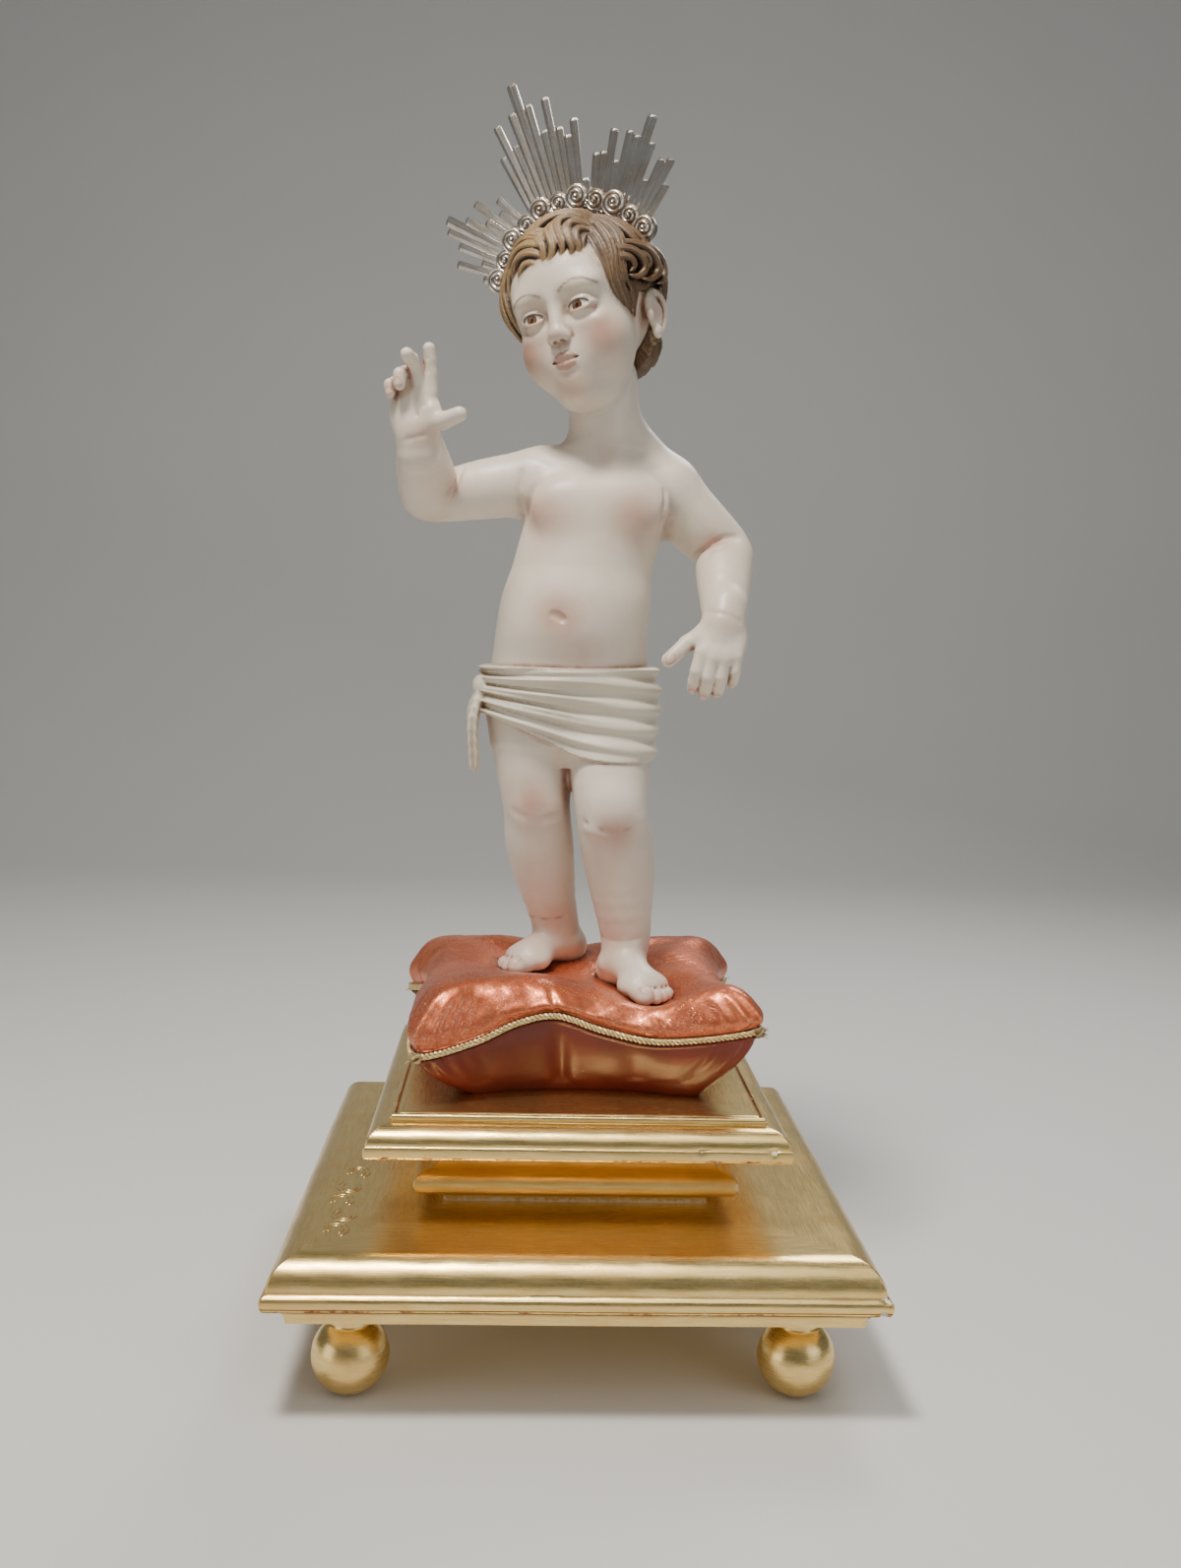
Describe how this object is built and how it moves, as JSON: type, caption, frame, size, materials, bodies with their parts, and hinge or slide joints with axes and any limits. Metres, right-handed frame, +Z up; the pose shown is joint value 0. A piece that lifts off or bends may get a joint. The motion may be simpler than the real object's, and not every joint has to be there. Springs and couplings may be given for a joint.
{
  "type": "standing child statuette",
  "caption": "Carved standing child with raised hand and rayed halo, barefoot on a corded cushion over a two-tier moulded plinth with ball feet.",
  "frame": {"origin": "on the ground under the middle of the base", "axes": "+Z up, the figure faces -Y, +X to the viewer's right"},
  "size_m": [0.3, 0.3, 0.6782],
  "materials": {
    "gilding": "water gilding over gesso and bole, burnished, rubbed at the edges",
    "red_lacquer": "glossy red lacquer, metallic copper red on top",
    "gold_cord": "twisted metallic cord",
    "flesh": "satin oil polychromy, with painted hair and cloth",
    "silver": "silver plate, slightly tarnished"
  },
  "bodies": {
    "root": {"plinth_lower": "gilding", "plinth_block": "gilding", "plinth_upper": "gilding", "foot_front_left": "gilding", "foot_front_right": "gilding", "foot_back_left": "gilding", "foot_back_right": "gilding", "cushion": "red_lacquer", "cushion_cord": "gold_cord", "figure": "flesh", "halo": "silver"}
  },
  "joints": []
}
